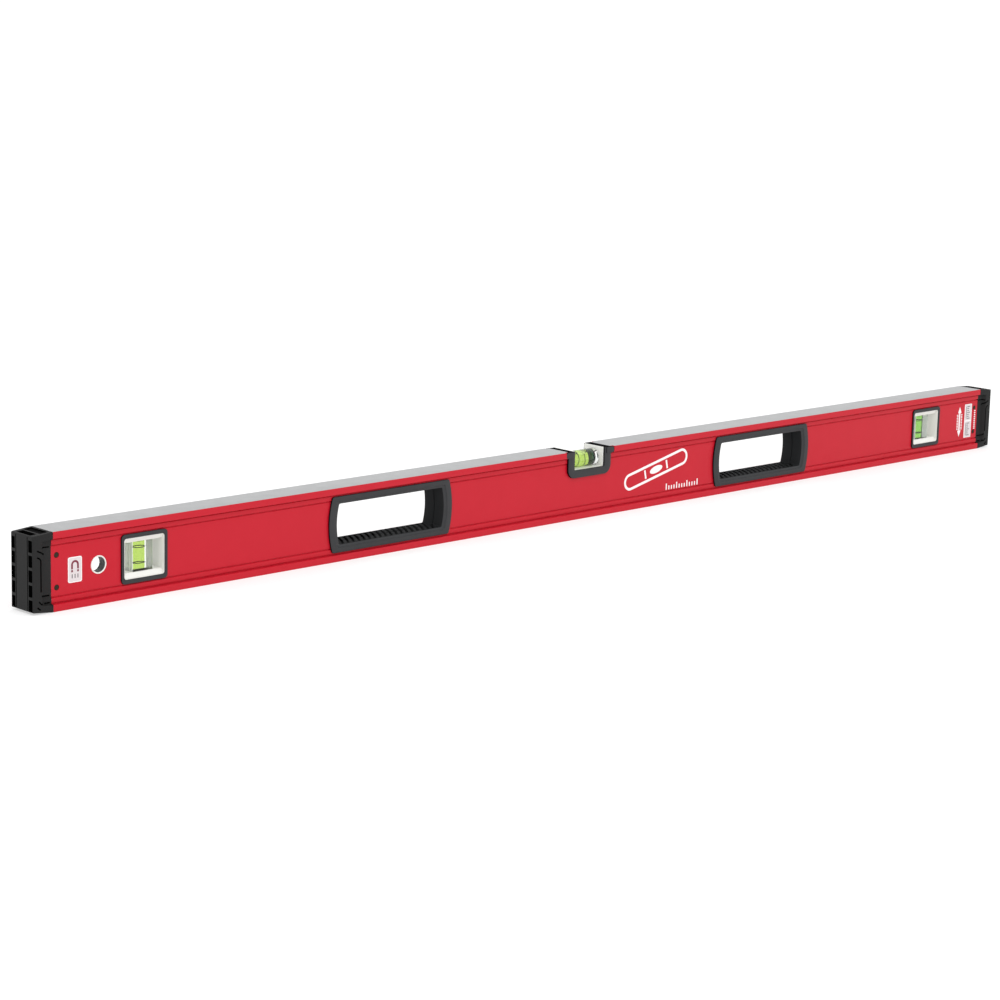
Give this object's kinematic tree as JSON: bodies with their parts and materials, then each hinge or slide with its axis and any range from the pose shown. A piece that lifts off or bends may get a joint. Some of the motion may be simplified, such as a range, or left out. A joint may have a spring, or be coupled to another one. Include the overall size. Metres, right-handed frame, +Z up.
{
  "type": "spirit level",
  "caption": "Long magnetic box-beam spirit level with a level vial in a top notch, upright vials near the ends, two hand holes, a hang hole and pull-off rubber end caps.",
  "frame": {"origin": "under the middle of the beam, on the lower measuring face", "axes": "+X along the level towards the end with the size label, +Y across its thickness away from the labelled front, +Z up through the notch"},
  "size_m": [1.22, 0.0292, 0.0635],
  "materials": {
    "red_powder_coat": "satin",
    "black_plastic": "matte",
    "black_rubber": "matte",
    "white_plastic": "satin",
    "clear_acrylic": "polished",
    "green_spirit": "gloss",
    "bubble_air": "gloss",
    "ring_ink": "matte",
    "magnet_plate": "satin",
    "label_film": "satin"
  },
  "bodies": {
    "level": {"frame": "red_powder_coat", "magnet_1": "magnet_plate", "magnet_2": "magnet_plate", "magnet_3": "magnet_plate", "magnet_4": "magnet_plate", "magnet_5": "magnet_plate", "magnet_6": "magnet_plate", "magnet_label": "label_film", "size_label": "label_film", "left_grip_front": "black_plastic", "left_grip_rear": "black_plastic", "left_plumb_bezel_front": "black_plastic", "left_plumb_bezel_rear": "black_plastic", "left_cap_plug": "black_plastic", "left_plumb_housing": "white_plastic", "left_plumb_plug": "white_plastic", "left_plumb_block": "clear_acrylic", "left_plumb_liquid": "green_spirit", "left_plumb_ring_lower": "ring_ink", "left_plumb_ring_upper": "ring_ink", "right_grip_front": "black_plastic", "right_grip_rear": "black_plastic", "right_plumb_bezel_front": "black_plastic", "right_plumb_bezel_rear": "black_plastic", "right_cap_plug": "black_plastic", "right_plumb_housing": "white_plastic", "right_plumb_plug": "white_plastic", "right_plumb_block": "clear_acrylic", "right_plumb_liquid": "green_spirit", "right_plumb_ring_lower": "ring_ink", "right_plumb_ring_upper": "ring_ink", "level_housing": "white_plastic", "hang_hole_rear_sleeve": "white_plastic", "hang_hole_front_eyelet": "white_plastic", "hang_hole_rear_eyelet": "white_plastic", "level_plug": "black_plastic", "level_surround_front": "black_plastic", "level_surround_rear": "black_plastic", "hang_hole_front_sleeve": "black_plastic", "level_barrel": "clear_acrylic", "level_liquid": "green_spirit", "level_ring_left": "ring_ink", "level_ring_right": "ring_ink"},
    "left_bumper": {"left_cap_bumper": "black_rubber"},
    "right_bumper": {"right_cap_bumper": "black_rubber"},
    "level_bubble": {"level_bubble": "bubble_air"},
    "left_plumb_bubble": {"left_plumb_bubble": "bubble_air"},
    "right_plumb_bubble": {"right_plumb_bubble": "bubble_air"}
  },
  "joints": [
    {"name": "left_cap_pull", "type": "slide", "parent": "level", "child": "left_bumper", "axis": [-1, 0, 0], "range_m": [0, 0.03]},
    {"name": "right_cap_pull", "type": "slide", "parent": "level", "child": "right_bumper", "axis": [1, 0, 0], "range_m": [0, 0.03]},
    {"name": "level_bubble_drift", "type": "slide", "parent": "level", "child": "level_bubble", "axis": [1, 0, 0], "range_m": [-0.0054, 0.0054], "stiffness_N_per_m": 0.5},
    {"name": "left_plumb_bubble_drift", "type": "slide", "parent": "level", "child": "left_plumb_bubble", "axis": [0, 0, 1], "range_m": [-0.021, 0], "stiffness_N_per_m": 0.5, "springref_m": 0.01},
    {"name": "right_plumb_bubble_drift", "type": "slide", "parent": "level", "child": "right_plumb_bubble", "axis": [0, 0, 1], "range_m": [-0.021, 0], "stiffness_N_per_m": 0.5, "springref_m": 0.01}
  ]
}
